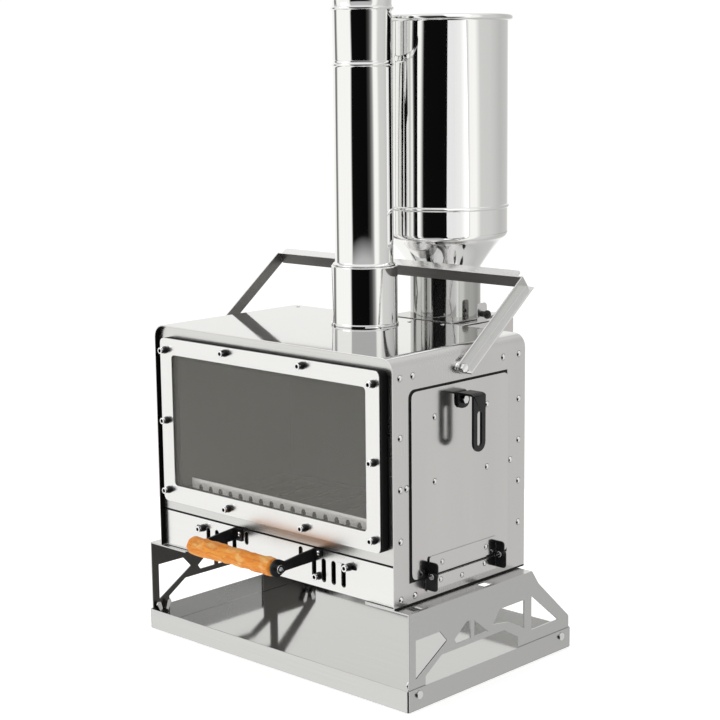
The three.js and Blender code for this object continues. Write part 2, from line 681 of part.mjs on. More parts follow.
// ---------------------------------------------------------------- side door, hinge and latch
{
  const x0 = W + GAP;
  const skin = x0 + 2;
  const bore = rod("x", LATCH.y, LATCH.z, 3.4, W - 25, W + 25, 10);
  add("side_door", cut(prism("x", roundRect(DOOR.y0, DOOR.y1, DOOR.z0, DOOR.z1, 9), x0, skin), bore));
  const inHole = (inset, top, r) =>
    roundRect(HOLE.y0 + inset, HOLE.y1 - inset, HOLE.z0 + inset, HOLE.z1 - top, r);
  add(
    "door_liner",
    cut(
      prism("x", inHole(2.5, 2.5, 7), W - 6, x0 - GAP),
      prism("x", inHole(5, 18, 6), W - 15, x0 - GAP - SHEET),
      bore,
    ),
  );

  // hinge: each leaf is a strip with a lug at each end, and the body's lugs stand outside the door's
  const lug = 2;
  const pinHole = rod("y", HINGE.x, HINGE.z, 2.4, 0, BODY_D, 8);
  const up = skin + GAP;
  const doorLug = roundRect(up, HINGE.x + 6, HINGE.z - 4, HINGE.z + 16.5, [0, 4, 4, 0]);
  const inside = { y0: HINGE.y0 + lug + GAP, y1: HINGE.y1 - lug - GAP };
  add(
    "door_hinge_leaf",
    cut(
      join(
        prism("x", roundRect(inside.y0, inside.y1, HINGE.z + 1, HINGE.z + 22.5, 3), up, up + LEAF),
        prism("y", doorLug, inside.y0, inside.y0 + lug),
        prism("y", doorLug, inside.y1 - lug, inside.y1),
      ),
      pinHole,
    ),
  );
  // the body's lug keeps inside the circle that the door's skin sweeps round the pin
  const wallLug = [
    [x0, HINGE.z - 18.5],
    ...arc(HINGE.x + 3, HINGE.z - 14.5, 4, -90, 0, 3),
    ...arc(HINGE.x + 3, HINGE.z + 0.5, 4, 0, 90, 3),
    [HINGE.x - 3.5, HINGE.z + 4.5],
    [HINGE.x - 6.5, HINGE.z + 2],
    [HINGE.x - 8, HINGE.z - 1.5],
    [x0, HINGE.z - 5.5],
  ];
  add(
    "body_hinge_leaf",
    cut(
      join(
        prism("x", roundRect(HINGE.y0, HINGE.y1, HINGE.z - 21.5, HINGE.z - 4.5, 3), x0, x0 + LEAF),
        prism("y", wallLug, HINGE.y0, HINGE.y0 + lug),
        prism("y", wallLug, HINGE.y1 - lug, HINGE.y1),
      ),
      pinHole,
    ),
  );
  const pinPiece = (a, b) =>
    join(
      rod("y", HINGE.x, HINGE.z, 2, a, b, 8),
      rod("y", HINGE.x, HINGE.z, 3.8, a - 2.2, a, 10),
      rod("y", HINGE.x, HINGE.z, 3.8, b, b + 2.2, 10),
    );
  add("hinge_pin_front", pinPiece(HINGE.y0 - GAP, inside.y0 + lug + GAP));
  add("hinge_pin_rear", pinPiece(inside.y1 - lug - GAP, HINGE.y1 + GAP));

  // latch: foot on the door, bridge, and the slotted handle plate that stands off the door
  const foot = skin + GAP + 0.4;
  const footT = 2.6;
  const stand = W + LEVER_STAND;
  const face = stand + 3.5;
  const h = 11.5;
  const y0 = LATCH.y - h;
  const y1 = LATCH.y + h;
  const top = LATCH.z + 10;
  const slot = roundRect(LATCH.y - 4, LATCH.y + 4, LATCH.z - LEVER_L + 7, LATCH.z - 12, 3.9, 5);
  const lever = cut(
    join(
      prism("x", roundRect(y0, y1, LATCH.z - 11, top, [9, 9, 2, 2]), foot, foot + footT),
      box(foot, face, y0, y1, top - 2.8, top),
      prism("x", roundRect(y0, y1, LATCH.z - LEVER_L, top, [h - 0.1, h - 0.1, 4, 4], 5), stand, face),
    ),
    prism("x", slot, stand - 7, face + 5),
    bore,
  );
  add("latch_lever", lever, BLACK);
  const nut = foot + footT + GAP;
  const tongue = hull([...circle(LATCH.y, LATCH.z, 5.5, 16), ...circle(LATCH.y, LATCH.z - 14, 4, 12)]);
  add(
    "latch_shaft",
    join(
      rod("x", LATCH.y, LATCH.z, 3, W - 13, nut + 1, 10),
      rod("x", LATCH.y, LATCH.z, 5.5, nut, nut + 3.7, 6),
      prism("x", tongue, W - 12, W - 9.5),
    ),
  );
}

// ---------------------------------------------------------------- ash drawer
{
  const y = RECESS;
  const low = BODY_Z0;
  const knob = { x: VENTS[3] + 10.3, z: low + 37 }; // shutter's knob
  const guide = { x: VENT_X + VENT_PITCH / 2, z: low + 15 };
  const pin = 2.1;
  const vents = [];
  for (const s of [-1, 1]) {
    for (const x of VENTS) {
      const outline = roundRect(s * x - VENT_W / 2, s * x + VENT_W / 2, VENT.z0, VENT.z1, 3.6);
      vents.push(prism("y", outline, y - 5, y + SHEET + 0.1));
    }
    const inner = s * (VENT_X - 23.5); // short slot between the brackets
    vents.push(prism("y", roundRect(inner - 3.5, inner + 3.5, low + 30, low + 47, 3.4), y - 5, y + 5));
    const ends = [s * (knob.x - 2.8), s * (knob.x + SHUTTER_TRAVEL + 4.2)];
    const travel = roundRect(Math.min(...ends), Math.max(...ends), knob.z - 2.6, knob.z + 2.6, 2.5, 2);
    vents.push(prism("y", travel, y - 5, y + 5));
    vents.push(rod("y", s * guide.x, guide.z, pin + 0.2, y - 5, y + 5, 8));
  }
  const front = box(-INNER + 0.6, INNER - 0.6, y, y + SHEET, low + GAP, SPLIT_Z - 0.6);
  add("drawer_front", cut(front, ...vents));

  // shutters behind the drawer front, each with its own knob; at rest their slots line up with the vents
  const sy = y + SHEET + 0.4;
  const st = 1.2;
  const socketHead = (x, z, from, to) =>
    cut(rod("y", x, z, KNOB_R, from, to, 12), rod("y", x, z, 2.2, from - 3, from + 3, 6));
  const shutterX = { x0: VENT_X - 10.5, x1: VENTS[3] + 25.5 };
  const shutter = join(
    cut(
      box(shutterX.x0, shutterX.x1, sy, sy + st, low + 4, low + 45),
      ...VENTS.map((x) =>
        prism("y", roundRect(x - VENT_W / 2, x + VENT_W / 2, VENT.z0, VENT.z1, 3.6, 2), sy - 1, sy + 5),
      ),
    ),
    rod("y", knob.x, knob.z, pin, y - 3, sy + 1, 8),
    socketHead(knob.x, knob.z, y - 10, y - 0.7),
  );
  add("air_shutter_right", shutter);
  add("air_shutter_left", mirrorX(shutter));
  const screw = join(
    rod("y", guide.x, guide.z, pin - 0.1, y - 1, y + SHEET, 8),
    socketHead(guide.x, guide.z, y - 9, y - GAP),
  );
  add("guide_screw_right", screw, BLACK);
  add("guide_screw_left", mirrorX(screw), BLACK);

  // box behind the shutters, with side pads that reach the drawer front
  const by = sy + st + 0.4;
  const side = INNER - 8.5;
  const floor = low + SHEET + 0.9;
  const wall = 1;
  const back = BODY_D - 15;
  const pad = box(side - 15, side, y + SHEET + GAP, by + wall, low + 8, SPLIT_Z - 5.6);
  const boxBody = join(
    cut(
      box(-side, side, by, back, floor, SPLIT_Z - 3.6),
      box(wall - side, side - wall, by + wall, back - wall, floor + wall, SPLIT_Z + 5),
    ),
    pad,
    mirrorX(pad),
  );
  const port = box(VENT_X - 13.5, VENTS[3] + 17.5, by - 1, by + 2, low + 6, low + 42);
  add("drawer_box", cut(boxBody, port, mirrorX(port)));

  // brackets: flat arms with a foot on the drawer front, the right one ends in a round eye beside the grip
  const root = y - GAP; // on the drawer front's face
  const wrist = circle(GRIP.y + 12, GRIP.z, 6, 12);
  const arm = (x0, eye) =>
    join(
      prism(
        "x",
        hull([[root, low + 33], [root, low + 49.5], [-20, low + 33], [-20, low + 47], ...wrist]),
        x0,
        x0 + BRACKET_T,
      ),
      prism("x", hull([...circle(GRIP.y, GRIP.z, eye, 18), ...wrist]), x0, x0 + BRACKET_T),
    );
  const bolt = rod("x", GRIP.y, GRIP.z, 3.4, -BRACKET_X - 27, BRACKET_X + 27, 10);
  const footL = BRACKET_T + 13;
  add(
    "drawer_bracket_right",
    cut(
      join(
        arm(BRACKET_X, GRIP_R - 1.4),
        box(BRACKET_X, BRACKET_X + footL, root - 2, root, low + 41, low + 49.5),
      ),
      bolt,
    ),
    BLACK,
  );
  add(
    "drawer_bracket_left",
    cut(
      join(arm(-BRACKET_X, 8), box(-BRACKET_X, footL - BRACKET_X, root - 2, root, low + 33, low + 49.5)),
      bolt,
    ),
    BLACK,
  );

  // carved grip: uneven radius from end to end; each ring gives its place and how far it is cut below GRIP_R
  const right = BRACKET_X - 0.4;
  const rings = [
    [-84.5, GRIP_R], [-84, 6.2], [-82.4, 3.1], [-79, 0.9], [-70, 0], [-55, 0.2], [-38, 1.1], [-20, 0.9],
    [-2, 0.1], [16, 0.6], [34, 1.3], [50, 0.8], [64, 0.3], [72.6, 1.5], [72.6, GRIP_R],
  ].map(([x, depth]) => new THREE.Vector2(GRIP_R - depth, (x * right) / 72.6));
  const wood = new THREE.LatheGeometry(rings, 16);
  wood.rotateZ(-Math.PI / 2);
  wood.translate(0, GRIP.y, GRIP.z);
  add(
    "drawer_grip",
    cut(
      solid(wood),
      rod("x", GRIP.y, GRIP.z, 3.5, -BRACKET_X - 7, BRACKET_X + 27, 10),
      box(-BRACKET_X - GAP, BRACKET_T + GAP - BRACKET_X, GRIP.y - 8.6, GRIP.y + 30, GRIP.z - 9, GRIP.z + 9),
    ),
    WOOD,
  );
  const boltEnd = BRACKET_X + BRACKET_T + GAP;
  const head = cut(
    rod("x", GRIP.y, GRIP.z, 5.6, boltEnd, boltEnd + 5.2, 14),
    rod("x", GRIP.y, GRIP.z, 2.6, boltEnd + 2.7, boltEnd + 9, 6),
  );
  add("grip_bolt", join(rod("x", GRIP.y, GRIP.z, 3, -BRACKET_X - 6, boltEnd + 1, 10), head));
}

// ---------------------------------------------------------------- origin at the bottom centre of the bounding box
const bounds = new THREE.Box3().setFromObject(group);
group.position.set(-(bounds.min.x + bounds.max.x) / 2, -(bounds.min.y + bounds.max.y) / 2, -bounds.min.z);

export default group;
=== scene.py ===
"""Tent wood stove with a pellet hopper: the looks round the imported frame, the studio and the camera."""

import json
import math
import random

import bmesh
import bpy
from mathutils import Matrix, Vector

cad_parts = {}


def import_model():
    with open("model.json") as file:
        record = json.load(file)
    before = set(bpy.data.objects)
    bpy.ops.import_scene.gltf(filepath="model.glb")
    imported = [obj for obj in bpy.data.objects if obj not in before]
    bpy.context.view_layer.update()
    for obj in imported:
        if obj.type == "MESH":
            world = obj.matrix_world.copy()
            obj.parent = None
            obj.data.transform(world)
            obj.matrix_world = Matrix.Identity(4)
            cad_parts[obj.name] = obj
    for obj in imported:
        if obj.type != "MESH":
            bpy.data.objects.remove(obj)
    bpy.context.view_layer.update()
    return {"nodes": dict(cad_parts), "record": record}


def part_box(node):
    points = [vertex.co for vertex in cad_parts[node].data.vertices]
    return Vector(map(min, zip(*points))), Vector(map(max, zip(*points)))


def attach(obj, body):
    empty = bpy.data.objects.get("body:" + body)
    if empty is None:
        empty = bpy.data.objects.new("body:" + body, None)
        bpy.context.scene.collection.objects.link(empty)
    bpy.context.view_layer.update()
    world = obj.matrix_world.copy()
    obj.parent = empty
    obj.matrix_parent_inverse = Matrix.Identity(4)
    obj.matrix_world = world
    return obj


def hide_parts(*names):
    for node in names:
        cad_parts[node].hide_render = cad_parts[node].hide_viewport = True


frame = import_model()
MM = 0.001

# Places in mm count from the middle of the body's front edge, and from the floor up.
SHELL_LOW, SHELL_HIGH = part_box("body_shell")
CENTRE_X = (SHELL_LOW.x + SHELL_HIGH.x) / 2
FRONT_Y = SHELL_LOW.y
WALL = (SHELL_HIGH.x - SHELL_LOW.x) / 2 / MM  # from the middle to the outside of a side wall
BODY_TOP = SHELL_HIGH.z / MM


def at(x, y, z):
    """A place in mm as a point in the frame's metres."""
    return Vector((CENTRE_X + x * MM, FRONT_Y + y * MM, z * MM))


# ------------------------------------------------------------------ materials

FACTOR, UNDER, OVER, RESULT = 0, 6, 7, 2  # the sockets of a Mix node that mixes colors
FINE, LONG = 900, 6  # streaks per metre across and along the brushing
GRAIN = {"x": (LONG, FINE, FINE), "y": (FINE, LONG, FINE), "z": (FINE, FINE, LONG)}


def node(tree, kind, **settings):
    made = tree.nodes.new(kind)
    for key, value in settings.items():
        setattr(made, key, value)
    return made


def link(tree, a, b):
    tree.links.new(a, b)


def put(made, values):
    """Sets a node's inputs by name."""
    for key, value in values.items():
        made.inputs[key].default_value = value


def principled(name, color, metallic, roughness):
    mat = bpy.data.materials.new(name)
    mat.use_nodes = True
    shader = mat.node_tree.nodes["Principled BSDF"]
    put(shader, {"Base Color": (*color, 1), "Metallic": metallic, "Roughness": roughness})
    return mat, mat.node_tree, shader


def glow(shader, color, strength):
    put(shader, {"Emission Color": (*color, 1), "Emission Strength": strength})


def noise(tree, scale, detail, rough, seed):
    """Noise over the frame's own metres, scaled by (x, y, z) cycles per metre."""
    place = node(tree, "ShaderNodeTexCoord")
    mapping = node(tree, "ShaderNodeMapping")
    put(mapping, {"Scale": scale, "Location": (seed, seed * 0.7, seed * 0.3)})
    texture = node(tree, "ShaderNodeTexNoise")
    put(texture, {"Scale": 1.0, "Detail": detail, "Roughness": rough})
    link(tree, place.outputs["Object"], mapping.inputs["Vector"])
    link(tree, mapping.outputs["Vector"], texture.inputs["Vector"])
    return texture.outputs["Fac"]


def spread(tree, value, low, high, from_low=0.3, from_high=0.7):
    """Maps from_low..from_high, which is most of a noise's range, to low..high."""
    ranged = node(tree, "ShaderNodeMapRange")
    put(ranged, {"From Min": from_low, "From Max": from_high, "To Min": low, "To Max": high})
    link(tree, value, ranged.inputs["Value"])
    return ranged.outputs["Result"]


def mix_colors(tree, factor, under, over, blend="MIX"):
    """Lays the color over on under, which is a color or a socket that gives one."""
    mix = node(tree, "ShaderNodeMix", data_type="RGBA", blend_type=blend)
    link(tree, factor, mix.inputs[FACTOR])
    if isinstance(under, bpy.types.NodeSocket):
        link(tree, under, mix.inputs[UNDER])
    else:
        mix.inputs[UNDER].default_value = (*under, 1)
    mix.inputs[OVER].default_value = (*over, 1)
    return mix.outputs[RESULT]


def bump(tree, height, distance, strength, shader, after=None):
    """Bumps the shader by a height, on top of the normal after if there is one, and gives the new normal."""
    made = node(tree, "ShaderNodeBump")
    put(made, {"Distance": distance, "Strength": strength})
    link(tree, height, made.inputs["Height"])
    if after is not None:
        link(tree, after, made.inputs["Normal"])
    link(tree, made.outputs["Normal"], shader.inputs["Normal"])
    return made.outputs["Normal"]


def steel(name, light, dark, roughness, grain, smudge, scratch, seed, wave=0.0, tint=None):
    """Stainless sheet in two close colors. Its brushing runs along the axis grain. The roughness varies by
    scratch along the streaks and by smudge in clouds. wave makes the sheet uneven, and tint colors wide
    upright bands."""
    mat, tree, shader = principled(name, light, 1.0, roughness)
    streak = noise(tree, GRAIN[grain], 3.0, 0.6, seed)
    cloud = noise(tree, (7, 7, 7), 3.0, 0.5, seed + 3)
    both = node(tree, "ShaderNodeMath", operation="ADD")
    link(tree, spread(tree, streak, -scratch / 2, scratch / 2), both.inputs[0])
    link(tree, spread(tree, cloud, roughness - smudge, roughness + smudge), both.inputs[1])
    link(tree, both.outputs[0], shader.inputs["Roughness"])
    color = mix_colors(tree, spread(tree, streak, 0, 1, 0.25, 0.75), dark, light)
    if tint:
        bands = noise(tree, (16, 16, 1.6), 2.0, 0.5, seed + 7)
        color = mix_colors(tree, spread(tree, bands, 0, 1, 0.35, 0.65), color, tint)
    link(tree, color, shader.inputs["Base Color"])
    normal = bump(tree, streak, 0.02 * MM, scratch * 2, shader)
    if wave:
        uneven = noise(tree, (9, 9, 3), 1.0, 0.4, seed + 5)
        bump(tree, uneven, 0.8 * MM, wave, shader, normal)
    return mat


def black_metal():
    mat, tree, shader = principled("black_steel", (0.012, 0.012, 0.013), 0.0, 0.34)
    speck = noise(tree, (900, 900, 900), 2.0, 0.6, 4)
    patch = noise(tree, (60, 60, 60), 3.0, 0.5, 8)
    color = mix_colors(tree, spread(tree, patch, 0, 1), (0.006, 0.006, 0.007), (0.014, 0.014, 0.015))
    link(tree, color, shader.inputs["Base Color"])
    link(tree, spread(tree, speck, 0.26, 0.42), shader.inputs["Roughness"])
    put(shader, {"Specular IOR Level": 0.45})
    bump(tree, speck, 0.03 * MM, 0.35, shader)
    return mat


def seal_cloth():
    mat, tree, shader = principled("black_seal", (0.006, 0.006, 0.006), 0.0, 0.8)
    weave = noise(tree, (1400, 1400, 1400), 2.0, 0.7, 2)
    color = mix_colors(tree, weave, (0.004, 0.004, 0.004), (0.012, 0.012, 0.012))
    link(tree, color, shader.inputs["Base Color"])
    bump(tree, weave, 0.2 * MM, 0.6, shader)
    return mat


def smoked_glass():
    mat, tree, shader = principled("smoked_glass", (0.58, 0.57, 0.52), 0.0, 0.06)
    put(shader, {"Alpha": 0.16, "IOR": 1.45})
    film = noise(tree, (5, 5, 5), 3.0, 0.5, 6)
    color = mix_colors(tree, film, (0.56, 0.55, 0.50), (0.62, 0.61, 0.56))
    link(tree, color, shader.inputs["Base Color"])
    link(tree, spread(tree, film, 0.04, 0.09), shader.inputs["Roughness"])
    return mat


def carved_wood():
    """Orange wood with its grain along X: light blotches, dark rings and dark pores over a warm grain."""
    mat, tree, shader = principled("orange_wood", (0.8, 0.32, 0.07), 0.0, 0.4)
    grain = noise(tree, (22, 260, 260), 5.0, 0.62, 3)
    blotch = noise(tree, (48, 75, 75), 2.0, 0.5, 9)
    pore = noise(tree, (70, 1500, 1500), 2.0, 0.6, 1)
    place = node(tree, "ShaderNodeTexCoord")
    rings = node(tree, "ShaderNodeTexWave", wave_type="RINGS", rings_direction="X")
    put(rings, {"Scale": 95, "Distortion": 5, "Detail": 2, "Detail Scale": 1.2})
    link(tree, place.outputs["Object"], rings.inputs["Vector"])
    color = mix_colors(tree, spread(tree, grain, 0, 1, 0.35, 0.65), (0.84, 0.23, 0.012), (1.0, 0.40, 0.045))
    for factor, tone in (
        (spread(tree, blotch, 0, 0.8, 0.5, 0.62), (1.0, 0.56, 0.17)),
        (spread(tree, rings.outputs["Fac"], 0.45, 0.0, 0.0, 0.22), (0.66, 0.20, 0.02)),
        (spread(tree, pore, 0.35, 0.0, 0.3, 0.42), (0.32, 0.08, 0.012)),
    ):
        color = mix_colors(tree, factor, color, tone)
    link(tree, color, shader.inputs["Base Color"])
    link(tree, spread(tree, grain, 0.34, 0.5), shader.inputs["Roughness"])
    put(shader, {"Specular IOR Level": 0.3, "Coat Weight": 0.08, "Coat Roughness": 0.3})
    bump(tree, grain, 0.6 * MM, 0.3, shader)
    return mat


SATIN = steel("satin_steel_z", (0.83, 0.825, 0.82), (0.79, 0.785, 0.78), 0.24, "z", 0.03, 0.03, seed=1,
              tint=(0.80, 0.775, 0.775))
DOOR = steel("satin_steel_door", (0.84, 0.835, 0.83), (0.81, 0.805, 0.80), 0.13, "z", 0.03, 0.05, seed=1,
             tint=(0.81, 0.785, 0.785))
# Used only on the bail: its lit tone, painted light, beside darker copies for its shaded faces.
SATIN_Y = steel("satin_steel_y", (0.93, 0.925, 0.92), (0.88, 0.875, 0.87), 0.2, "y", 0.03, 0.03, seed=2)
# A darker copy of the steel: painted shade on the bail's right arm.
ARM_SHADE = steel("arm_shade_steel", (0.66, 0.66, 0.65), (0.60, 0.60, 0.59), 0.2, "y", 0.03, 0.03, seed=16)
DULL = steel("dull_steel", (0.68, 0.68, 0.675), (0.63, 0.63, 0.625), 0.24, "x", 0.03, 0.025, seed=11)
SHADE = steel("shaded_steel", (0.17, 0.165, 0.155), (0.13, 0.125, 0.12), 0.34, "x", 0.05, 0.06, seed=12)
BRIGHT = steel("bright_steel", (0.90, 0.90, 0.895), (0.86, 0.86, 0.855), 0.24, "x", 0.03, 0.02, seed=3)
STRIP = steel("bright_strip", (0.74, 0.74, 0.73), (0.68, 0.68, 0.67), 0.24, "x", 0.03, 0.05, seed=14)
# The rail's steel glows a little: painted light for what reaches it through the glass.
RAIL_GLOW = steel("rail_glow_steel", (0.98, 0.98, 0.97), (0.95, 0.95, 0.94), 0.35, "x", 0.03, 0.05, seed=15)
glow(RAIL_GLOW.node_tree.nodes["Principled BSDF"], (1, 0.98, 0.95), 0.16)
MIRROR = steel("polished_steel", (0.93, 0.93, 0.925), (0.90, 0.90, 0.895), 0.045, "z", 0.015, 0.02, seed=4,
               wave=0.05)
# A darker copy of the polished steel for the hopper's neck: painted shade under the funnel.
NECK_SHADED = steel("polished_neck_shaded", (0.56, 0.56, 0.55), (0.50, 0.50, 0.49), 0.09, "z", 0.02, 0.03, seed=9,
             wave=0.02)
TOP_MIRROR = steel("polished_top", (0.74, 0.74, 0.735), (0.70, 0.70, 0.695), 0.06, "y", 0.02, 0.02, seed=5,
                   wave=0.01)
TRAY_FLOOR = steel("tray_floor", (0.56, 0.56, 0.555), (0.52, 0.52, 0.515), 0.09, "x", 0.03, 0.03, seed=6)
# A darker copy of the steel: painted shade on the bail's left arm and on the drawer box inside the stove.
DIM_SHADE = steel("dim_shade_steel", (0.30, 0.29, 0.28), (0.22, 0.215, 0.21), 0.42, "x", 0.08, 0.1, seed=7)
# Near-black steel for the stove's inner faces, grate and baffle: painted shade inside the stove.
INSIDE_SHADE = steel("inside_shade_steel", (0.030, 0.029, 0.027), (0.020, 0.0195, 0.0185), 0.55, "x", 0.05, 0.03, seed=10)
ZINC = steel("zinc_steel", (0.97, 0.97, 0.97), (0.92, 0.92, 0.92), 0.1, "x", 0.03, 0.04, seed=8)
BLACK = black_metal()
SEAL = seal_cloth()
GLASS = smoked_glass()
WOOD = carved_wood()

# ------------------------------------------------------------------ mesh helpers

BODY_OF = {n: b for b, members in frame["record"]["behaviour"]["bodies"].items() for n in members}
SHARP = math.radians(38)  # faces that meet at more than this have an edge
FLAT = math.radians(0.6)  # facets that meet at less than this become one face
WELD = 0.004 * MM  # corners closer than this become one


def finish_mesh(name, bm, mats, body, replaced=(), edge=0.0, segments=2):
    """Makes the piece from bm, lets it ride on body, and rounds its sharp edges by edge mm."""
    mesh = bpy.data.meshes.new(name)
    for face in bm.faces:
        face.smooth = True
    if not edge:
        for line in bm.edges:
            line.smooth = len(line.link_faces) != 2 or line.calc_face_angle() < SHARP
    bm.to_mesh(mesh)
    bm.free()
    piece = bpy.data.objects.new(name, mesh)
    bpy.context.scene.collection.objects.link(piece)
    for mat in mats:
        mesh.materials.append(mat)
    if edge:
        bevel = piece.modifiers.new("edge", "BEVEL")
        bevel.width = edge * MM
        bevel.segments = segments
        bevel.limit_method = "ANGLE"
        bevel.angle_limit = SHARP
        bevel.use_clamp_overlap = False
        piece.modifiers.new("normals", "WEIGHTED_NORMAL").keep_sharp = True
    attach(piece, body)
    if replaced:
        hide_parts(*replaced)


def stand_in(name, bm, mats, edge=0.0, segments=2):
    """Makes the piece that replaces a CAD node, on the node's own body."""
    finish_mesh(name + "_dressed", bm, mats, BODY_OF[name], [name], edge, segments)


def dress(name, mats, edge, choose=None, segments=2, first=None):
    """A finer copy of a CAD node: its facets merged, its edges rounded. choose gives a face's index in mats,
    and first may change the mesh before that."""
    bm = bmesh.new()
    bm.from_mesh(frame["nodes"][name].data)
    bmesh.ops.remove_doubles(bm, verts=bm.verts, dist=WELD)
    bmesh.ops.dissolve_limit(bm, angle_limit=FLAT, verts=bm.verts, edges=bm.edges)
    if first:
        first(bm)
    bm.normal_update()
    for face in bm.faces:
        face.material_index = choose(face.calc_center_median(), face.normal) if choose else 0
    stand_in(name, bm, mats, edge, segments)


def band(bm, low, high, index=0):
    """Faces between two rings of corners, either of which may be a single corner."""
    for i in range(max(len(low), len(high))):
        a, b = low[i % len(low)], low[(i + 1) % len(low)]
        c, d = high[(i + 1) % len(high)], high[i % len(high)]
        bm.faces.new(list(dict.fromkeys((a, b, c, d)))).material_index = index


def turned(bm, profile, centre, steps, axis="z", index=0):
    """Adds a profile of (radius, height) in mm turned about an axis through centre."""
    rings = []
    for radius, height in profile:
        ring = []
        for i in range(1 if radius < 1e-6 else steps):
            a = 2 * math.pi * i / steps
            u, v, w = radius * math.cos(a) * MM, radius * math.sin(a) * MM, height * MM
            offset = {"z": (u, v, w), "x": (w, u, v), "y": (v, w, u)}[axis]
            ring.append(bm.verts.new(centre + Vector(offset)))
        rings.append(ring)
    for low, high in zip(rings, rings[1:]):
        band(bm, low, high, index)
    bmesh.ops.recalc_face_normals(bm, faces=bm.faces)


def arc(u, v, r, start, end, steps):
    """Points of an arc of radius r round (u, v), from one angle in degrees to the other."""
    out = []
    for i in range(steps + 1):
        a = math.radians(start + (end - start) * i / steps)
        out.append((u + r * math.cos(a), v + r * math.sin(a)))
    return out


def centre_of(name):
    low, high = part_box(name)
    return (low + high) / 2


def upright(name):
    """An upright round node's axis, and in mm its radius and the heights of its foot and its top."""
    low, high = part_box(name)
    axis = Vector(((low.x + high.x) / 2, (low.y + high.y) / 2, 0))
    return axis, (high.x - low.x) / 2 / MM, low.z / MM, high.z / MM


# ------------------------------------------------------------------ flue and hopper

SEAT_GAP = 0.3  # between a piece and what it seats on
PIPE_STEPS, HOPPER_STEPS = 128, 160

FLUE_AXIS, COLLAR_RADIUS, COLLAR_FOOT, COLLAR_TOP = upright("flue_collar")
LOWER_RADIUS, LOWER_FOOT, LOWER_TOP = upright("flue_pipe_lower")[1:]
PIPE = LOWER_RADIUS - 3.1  # the pipe's radius without the bead that seats on the collar

HOPPER_AXIS, RIM, BARREL_FOOT, BARREL_TOP = upright("hopper_barrel")
BARREL = RIM - 6.2  # the barrel's radius without its rolled rim
HOPPER_SHEET = 1.6
NECK_RADIUS = 48


def turned_steel(name, profile, axis, steps):
    bm = bmesh.new()
    turned(bm, profile, axis, steps)
    stand_in(name, bm, [MIRROR])


def flue_collar():
    """A sleeve with a weld round its foot and an edge that turns in to the pipe."""
    sheet, weld = 1.5, 0.8
    foot, top = COLLAR_FOOT, COLLAR_TOP
    wall = COLLAR_RADIUS - 1.2
    inner, mouth = wall - sheet, PIPE + 0.5
    turned_steel("flue_collar", [
        (inner, foot), (COLLAR_RADIUS, foot), (COLLAR_RADIUS, foot + 1.2),
        *arc(COLLAR_RADIUS - weld, foot + 2.1, weld, 0, 90, 3),
        (wall + 0.2, foot + 3.2), (wall, foot + 4), (wall, top - 2.4),
        *arc(inner, top - sheet, sheet, 0, 90, 4),
        (mouth, top), (mouth, top - sheet), (inner, top - 3), (inner, foot),
    ], FLUE_AXIS, PIPE_STEPS)


def flue_pipe_lower():
    """The lower section: the bead that seats on the collar, and a swage below its top."""
    sheet, roll, swage = 1, 1, 2.1
    foot, top = LOWER_FOOT, LOWER_TOP
    seat = COLLAR_TOP + SEAT_GAP
    turned_steel("flue_pipe_lower", [
        (PIPE - sheet, foot), (PIPE, foot), (PIPE, seat), (LOWER_RADIUS - roll, seat),
        *arc(LOWER_RADIUS - roll, seat + 1.2, roll, -60, 60, 4),
        (PIPE + 0.6, seat + 3.6), (PIPE, seat + 5), (PIPE, top - 8.4),
        *arc(PIPE - 0.4, top - 5, swage, -60, 60, 6),
        (PIPE, top - 1.6), (PIPE, top), (PIPE - sheet, top), (PIPE - sheet, foot),
    ], FLUE_AXIS, PIPE_STEPS)


def flue_pipe_upper():
    """The upper section: a spigot into the lower one, a bead near the top and a socket for the next one."""
    sheet, bead, socket = 1, 2.2, 46
    radius, foot, top = upright("flue_pipe_upper")[1:]
    spigot = PIPE - 1.4
    seat = LOWER_TOP + SEAT_GAP
    turned_steel("flue_pipe_upper", [
        (spigot - sheet, foot), (spigot, foot), (spigot, seat), (PIPE - 0.4, seat), (PIPE, seat + 0.6),
        (PIPE, top - 15.5),
        *arc(radius - bead, top - 10.8, bead, -75, 75, 8),
        (PIPE, top - 6.2), (PIPE, top - 0.3), (PIPE - 0.4, top), (PIPE - 1.2, top), (spigot, top - 0.4),
        (spigot, top - socket), (spigot - sheet, top - socket), (spigot - sheet, foot),
    ], FLUE_AXIS, PIPE_STEPS)


def hopper_barrel():
    """The wide barrel with a bead low on its wall and a rolled rim."""
    bead, roll = 2.8, 4
    foot, top = BARREL_FOOT, BARREL_TOP
    inner = BARREL - HOPPER_SHEET
    bead_z = foot + 34.7
    turned_steel("hopper_barrel", [
        (inner, foot), (BARREL, foot), (BARREL, bead_z - bead),
        *arc(BARREL - 0.7, bead_z, bead, -70, 70, 8),
        (BARREL, bead_z + bead), (BARREL, top - 9), (BARREL + 0.8, top - 7.8),
        *arc(RIM - roll, top - roll, roll, -90, 110, 14),
        (BARREL - 1.2, top - 0.8), (inner, top - 1.8), (inner, foot),
    ], HOPPER_AXIS, HOPPER_STEPS)


def hopper_funnel():
    """The cone with a rounded shoulder, and the ring on it that fits inside the barrel."""
    shoulder, flare_height, swell, flare_steps = 9, 41.3, 1.25, 12
    foot, top = (corner.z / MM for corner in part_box("hopper_funnel"))
    seat = BARREL_FOOT - SEAT_GAP
    reach = BARREL - 3 - NECK_RADIUS
    flare = []
    for i in range(flare_steps + 1):
        t = i / flare_steps
        flare.append((NECK_RADIUS + reach * t, foot + flare_height * (1 - (1 - t) ** swell)))
    cheek = arc(BARREL - shoulder, seat, shoulder, -48, 0, 6)
    inside = [(radius - HOPPER_SHEET, z + 0.6) for radius, z in reversed(flare)]
    ring = BARREL - 2
    turned_steel("hopper_funnel", [
        (NECK_RADIUS - HOPPER_SHEET, foot), *flare, *cheek[1:],
        (ring, seat), (ring, top), (ring - HOPPER_SHEET, top), (ring - HOPPER_SHEET, seat),
        *inside, (NECK_RADIUS - HOPPER_SHEET, foot),
    ], HOPPER_AXIS, HOPPER_STEPS)


